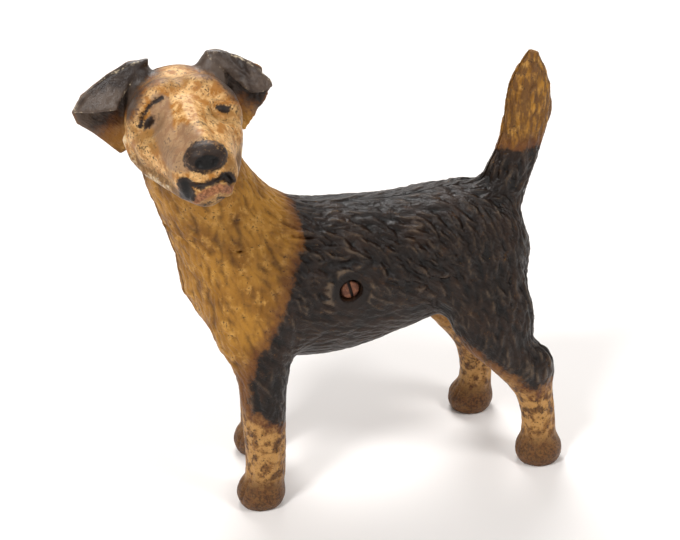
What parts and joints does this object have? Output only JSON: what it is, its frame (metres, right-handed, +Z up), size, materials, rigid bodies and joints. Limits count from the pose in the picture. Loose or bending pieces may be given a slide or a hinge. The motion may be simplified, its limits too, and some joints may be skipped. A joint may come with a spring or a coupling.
{
  "type": "still bank",
  "caption": "Hollow cast iron money box in the form of a standing terrier with its head turned aside, two castings held by one screw.",
  "frame": {"origin": "on the floor plane under the soles, at the middle of the whole dog's outline seen from above", "axes": "+X towards the tail, -Y towards the dog's left side, which the face looks towards, +Z up"},
  "size_m": [0.1682, 0.086, 0.1686],
  "materials": {
    "left_paint": "worn enamel, black saddle over golden tan",
    "right_paint": "worn enamel, black saddle over golden tan",
    "screw_steel": "rusty brown steel"
  },
  "bodies": {
    "right_half": {"right_casting": "right_paint"},
    "left_half": {"left_casting": "left_paint"},
    "screw": {"clamp_screw": "screw_steel"}
  },
  "joints": [
    {"name": "halves_part", "type": "slide", "parent": "right_half", "child": "left_half", "axis": [0, -1, 0], "range_m": [0, 0.06]},
    {"name": "screw_turn", "type": "hinge", "parent": "left_half", "child": "screw", "pos_m": [0.00242, -0.00457, 0.0819], "axis": [0, -1, 0], "range_deg": [0, 5490]}
  ]
}
